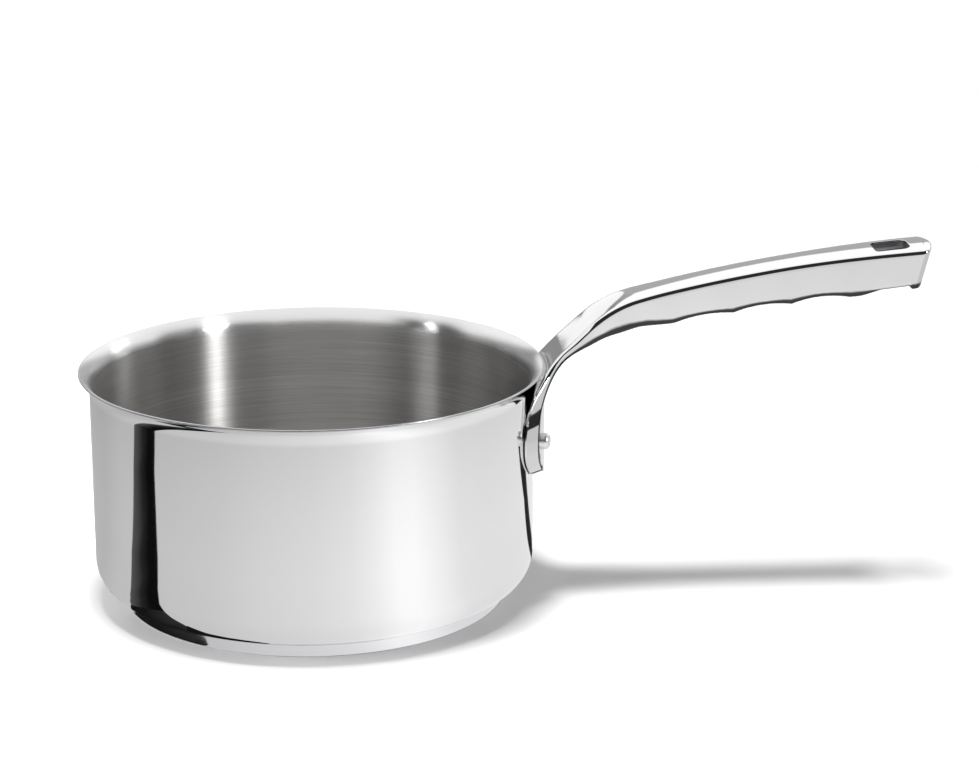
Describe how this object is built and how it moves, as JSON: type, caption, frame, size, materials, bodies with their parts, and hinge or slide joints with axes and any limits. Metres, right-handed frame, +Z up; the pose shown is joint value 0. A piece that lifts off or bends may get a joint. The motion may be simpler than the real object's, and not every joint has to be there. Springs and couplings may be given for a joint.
{
  "type": "saucepan",
  "caption": "Steel saucepan with a flared pouring rim, a sandwich base and a long riveted cast handle with finger grooves and a hang slot.",
  "frame": {"origin": "centre of the base's resting face", "axes": "+Z up along the vessel's axis, +X along the handle, away from the vessel"},
  "size_m": [0.3075, 0.1676, 0.1288],
  "materials": {
    "vessel_steel": "mirror polished outside, brushed round the inside, satin on the flared rim",
    "disc_aluminium": "plain, closed in by the capsule",
    "base_steel": "bright satin, turned on the underside",
    "handle_steel": "mirror polished cast steel",
    "rivet_steel": "bright satin"
  },
  "bodies": {
    "root": {"vessel": "vessel_steel", "heat_disc": "disc_aluminium", "base_capsule": "base_steel", "handle": "handle_steel", "rivet_near": "rivet_steel", "rivet_far": "rivet_steel"}
  },
  "joints": []
}
